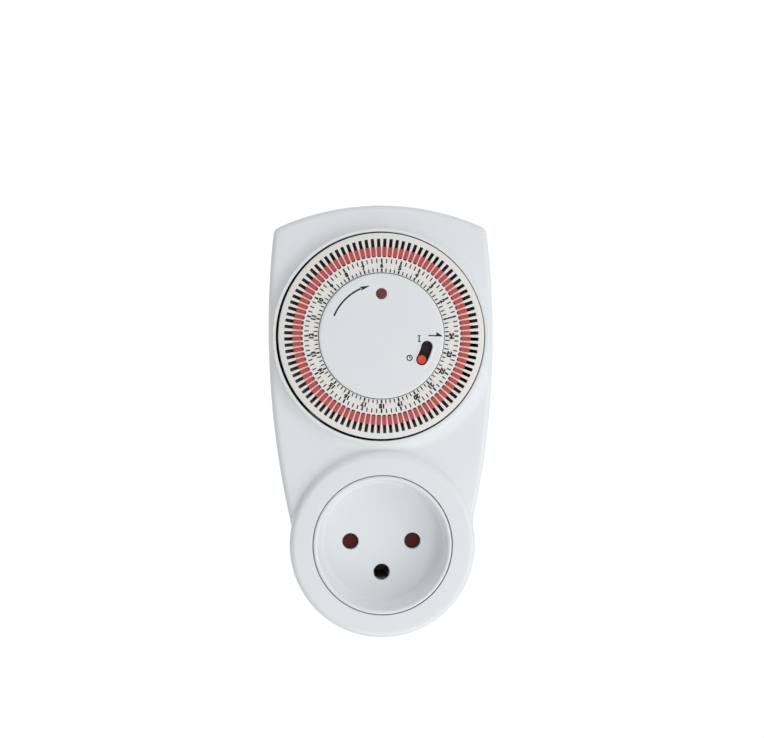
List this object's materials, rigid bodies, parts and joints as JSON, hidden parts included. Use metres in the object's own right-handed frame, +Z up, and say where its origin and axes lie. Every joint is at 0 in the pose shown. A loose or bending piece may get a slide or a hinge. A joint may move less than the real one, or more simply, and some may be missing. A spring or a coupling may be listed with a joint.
{
  "type": "plug-in timer switch",
  "caption": "Plug-in mains timer: bowed upright casing with a segmented 24-hour dial of push-in tappets above a round three-hole socket, and a three-pin plug at the back.",
  "frame": {"origin": "centre between the live and neutral pins, on the plug body's face that meets the wall", "axes": "+Z up the casing, +Y out of the back along the pins, front faces -Y, +X to the right seen from the front"},
  "size_m": [0.0676, 0.0622, 0.13],
  "materials": {
    "casing_white": "satin moulded plastic",
    "dial_cream": "matt moulded plastic with printed numbers",
    "tappet_red": "moulded red plastic",
    "knob_orange": "moulded orange-red plastic",
    "lens_red": "clear red plastic lens",
    "lamp_glass": "neon lamp glass",
    "shutter_brown": "dark red-brown moulded plastic",
    "black_plastic": "black moulded plastic",
    "nylon": "natural nylon",
    "brass": "bright brass strip",
    "plated_brass": "nickel-plated brass",
    "steel": "zinc-plated steel",
    "copper_winding": "enamelled copper wire under varnish",
    "magnet_grey": "sintered ferrite"
  },
  "bodies": {
    "chassis": {"front_casing": "casing_white", "rear_casing": "casing_white", "screws": "steel", "socket_insert": "casing_white", "shutter_spring": "steel", "contact_block": "black_plastic", "live_contact": "brass", "neutral_contact": "brass", "earth_contact": "brass", "live_pin": "plated_brass", "neutral_pin": "plated_brass", "earth_pin": "plated_brass", "live_busbars": "brass", "movement_plate": "nylon", "gear_plate": "steel", "centre_disc": "casing_white", "indicator_lens": "lens_red", "indicator_lamp": "lamp_glass", "microswitch_body": "black_plastic", "microswitch_contacts": "brass", "motor_can": "steel", "motor_coil": "copper_winding"},
    "dial": {"dial_ring": "dial_cream", "dial_carrier": "black_plastic", "quarter_tappets": "tappet_red"},
    "tappet_01": {"tappet_hour_01": "tappet_red"},
    "tappet_02": {"tappet_hour_02": "tappet_red"},
    "tappet_03": {"tappet_hour_03": "tappet_red"},
    "tappet_04": {"tappet_hour_04": "tappet_red"},
    "tappet_05": {"tappet_hour_05": "tappet_red"},
    "tappet_06": {"tappet_hour_06": "tappet_red"},
    "tappet_07": {"tappet_hour_07": "tappet_red"},
    "tappet_08": {"tappet_hour_08": "tappet_red"},
    "tappet_09": {"tappet_hour_09": "tappet_red"},
    "tappet_10": {"tappet_hour_10": "tappet_red"},
    "tappet_11": {"tappet_hour_11": "tappet_red"},
    "tappet_12": {"tappet_hour_12": "tappet_red"},
    "tappet_13": {"tappet_hour_13": "tappet_red"},
    "tappet_14": {"tappet_hour_14": "tappet_red"},
    "tappet_15": {"tappet_hour_15": "tappet_red"},
    "tappet_16": {"tappet_hour_16": "tappet_red"},
    "tappet_17": {"tappet_hour_17": "tappet_red"},
    "tappet_18": {"tappet_hour_18": "tappet_red"},
    "tappet_19": {"tappet_hour_19": "tappet_red"},
    "tappet_20": {"tappet_hour_20": "tappet_red"},
    "tappet_21": {"tappet_hour_21": "tappet_red"},
    "tappet_22": {"tappet_hour_22": "tappet_red"},
    "tappet_23": {"tappet_hour_23": "tappet_red"},
    "tappet_24": {"tappet_hour_24": "tappet_red"},
    "knob": {"override_knob": "knob_orange"},
    "lever": {"follower_lever": "black_plastic"},
    "plunger": {"microswitch_plunger": "knob_orange"},
    "shutter": {"socket_shutter": "shutter_brown"},
    "rotor_body": {"rotor": "magnet_grey"},
    "wheel_1": {"gear_wheel_1": "nylon"},
    "wheel_2": {"gear_wheel_2": "nylon"},
    "wheel_3": {"gear_wheel_3": "nylon"},
    "wheel_4": {"gear_wheel_4": "nylon"},
    "wheel_5": {"gear_wheel_5": "nylon"},
    "clutch": {"clutch_pinion": "nylon"}
  },
  "joints": [
    {"name": "dial_turn", "type": "hinge", "parent": "chassis", "child": "dial", "pos_m": [0, -0.04, 0.0627], "axis": [0, -1, 0], "continuous": true},
    {"name": "set_hour_01", "type": "slide", "parent": "dial", "child": "tappet_01", "axis": [0.9589, 0, 0.2836], "range_m": [0, 0.0024]},
    {"name": "set_hour_02", "type": "slide", "parent": "dial", "child": "tappet_02", "axis": [0.8529, 0, 0.5221], "range_m": [0, 0.0024]},
    {"name": "set_hour_03", "type": "slide", "parent": "dial", "child": "tappet_03", "axis": [0.6887, 0, 0.7251], "range_m": [0, 0.0024]},
    {"name": "set_hour_04", "type": "slide", "parent": "dial", "child": "tappet_04", "axis": [0.4775, 0, 0.8786], "range_m": [0, 0.0024]},
    {"name": "set_hour_05", "type": "slide", "parent": "dial", "child": "tappet_05", "axis": [0.2339, 0, 0.9723], "range_m": [0, 0.0024]},
    {"name": "set_hour_06", "type": "slide", "parent": "dial", "child": "tappet_06", "axis": [-0.0257, 0, 0.9997], "range_m": [0, 0.0024]},
    {"name": "set_hour_07", "type": "slide", "parent": "dial", "child": "tappet_07", "axis": [-0.2836, 0, 0.9589], "range_m": [0, 0.0024]},
    {"name": "set_hour_08", "type": "slide", "parent": "dial", "child": "tappet_08", "axis": [-0.5221, 0, 0.8529], "range_m": [0, 0.0024]},
    {"name": "set_hour_09", "type": "slide", "parent": "dial", "child": "tappet_09", "axis": [-0.7251, 0, 0.6887], "range_m": [0, 0.0024]},
    {"name": "set_hour_10", "type": "slide", "parent": "dial", "child": "tappet_10", "axis": [-0.8786, 0, 0.4775], "range_m": [0, 0.0024]},
    {"name": "set_hour_11", "type": "slide", "parent": "dial", "child": "tappet_11", "axis": [-0.9723, 0, 0.2339], "range_m": [0, 0.0024]},
    {"name": "set_hour_12", "type": "slide", "parent": "dial", "child": "tappet_12", "axis": [-0.9997, 0, -0.0257], "range_m": [0, 0.0024]},
    {"name": "set_hour_13", "type": "slide", "parent": "dial", "child": "tappet_13", "axis": [-0.9589, 0, -0.2836], "range_m": [0, 0.0024]},
    {"name": "set_hour_14", "type": "slide", "parent": "dial", "child": "tappet_14", "axis": [-0.8529, 0, -0.5221], "range_m": [0, 0.0024]},
    {"name": "set_hour_15", "type": "slide", "parent": "dial", "child": "tappet_15", "axis": [-0.6887, 0, -0.7251], "range_m": [0, 0.0024]},
    {"name": "set_hour_16", "type": "slide", "parent": "dial", "child": "tappet_16", "axis": [-0.4775, 0, -0.8786], "range_m": [0, 0.0024]},
    {"name": "set_hour_17", "type": "slide", "parent": "dial", "child": "tappet_17", "axis": [-0.2339, 0, -0.9723], "range_m": [0, 0.0024]},
    {"name": "set_hour_18", "type": "slide", "parent": "dial", "child": "tappet_18", "axis": [0.0257, 0, -0.9997], "range_m": [0, 0.0024]},
    {"name": "set_hour_19", "type": "slide", "parent": "dial", "child": "tappet_19", "axis": [0.2836, 0, -0.9589], "range_m": [0, 0.0024]},
    {"name": "set_hour_20", "type": "slide", "parent": "dial", "child": "tappet_20", "axis": [0.5221, 0, -0.8529], "range_m": [0, 0.0024]},
    {"name": "set_hour_21", "type": "slide", "parent": "dial", "child": "tappet_21", "axis": [0.7251, 0, -0.6887], "range_m": [0, 0.0024]},
    {"name": "set_hour_22", "type": "slide", "parent": "dial", "child": "tappet_22", "axis": [0.8786, 0, -0.4775], "range_m": [0, 0.0024]},
    {"name": "set_hour_23", "type": "slide", "parent": "dial", "child": "tappet_23", "axis": [0.9723, 0, -0.2339], "range_m": [0, 0.0024]},
    {"name": "set_hour_24", "type": "slide", "parent": "dial", "child": "tappet_24", "axis": [0.9997, 0, 0.0257], "range_m": [0, 0.0024]},
    {"name": "override_switch", "type": "hinge", "parent": "chassis", "child": "knob", "pos_m": [0, -0.04, 0.0627], "axis": [0, -1, 0], "range_deg": [0, 17.5]},
    {"name": "lever_tilt", "type": "hinge", "parent": "chassis", "child": "lever", "pos_m": [0.02468, -0.03565, 0.04874], "axis": [-0.9993, 0, 0.0384], "range_deg": [0, 3.5], "stiffness_Nm_per_rad": 0.01, "springref_deg": -2.86},
    {"name": "plunger_press", "type": "slide", "parent": "chassis", "child": "plunger", "axis": [0, 1, 0], "range_m": [0, 0.000428]},
    {"name": "shutter_slide", "type": "slide", "parent": "chassis", "child": "shutter", "axis": [0, 0, 1], "range_m": [0, 0.0056], "stiffness_N_per_m": 60, "springref_m": -0.004, "deforming": ["shutter_spring"]},
    {"name": "rotor_spin", "type": "hinge", "parent": "chassis", "child": "rotor_body", "pos_m": [0.00128, -0.024, 0.06707], "axis": [0, -1, 0], "continuous": true},
    {"name": "wheel_1_spin", "type": "hinge", "parent": "chassis", "child": "wheel_1", "pos_m": [0.00128, -0.028, 0.05687], "axis": [0, -1, 0], "continuous": true},
    {"name": "wheel_2_spin", "type": "hinge", "parent": "chassis", "child": "wheel_2", "pos_m": [-0.00382, -0.028, 0.04804], "axis": [0, -1, 0], "continuous": true},
    {"name": "wheel_3_spin", "type": "hinge", "parent": "chassis", "child": "wheel_3", "pos_m": [-0.01397, -0.028, 0.05173], "axis": [0, -1, 0], "continuous": true},
    {"name": "wheel_4_spin", "type": "hinge", "parent": "chassis", "child": "wheel_4", "pos_m": [-0.01767, -0.028, 0.06188], "axis": [0, -1, 0], "continuous": true},
    {"name": "wheel_5_spin", "type": "hinge", "parent": "chassis", "child": "wheel_5", "pos_m": [-0.01767, -0.028, 0.0729], "axis": [0, -1, 0], "continuous": true},
    {"name": "clutch_spin", "type": "hinge", "parent": "chassis", "child": "clutch", "pos_m": [-0.01767, -0.036, 0.0729], "axis": [0, -1, 0], "continuous": true}
  ],
  "couplings": [
    {"joint": "plunger_press", "follows": "lever_tilt", "m_per_rad": 0.007},
    {"joint": "wheel_1_spin", "follows": "rotor_spin", "ratio": -0.13333},
    {"joint": "wheel_2_spin", "follows": "rotor_spin", "ratio": 0.017778},
    {"joint": "wheel_3_spin", "follows": "rotor_spin", "ratio": -0.0022222},
    {"joint": "wheel_4_spin", "follows": "rotor_spin", "ratio": 0.00027778},
    {"joint": "wheel_5_spin", "follows": "rotor_spin", "ratio": -0.000044444},
    {"joint": "clutch_spin", "follows": "dial_turn", "ratio": -16}
  ]
}
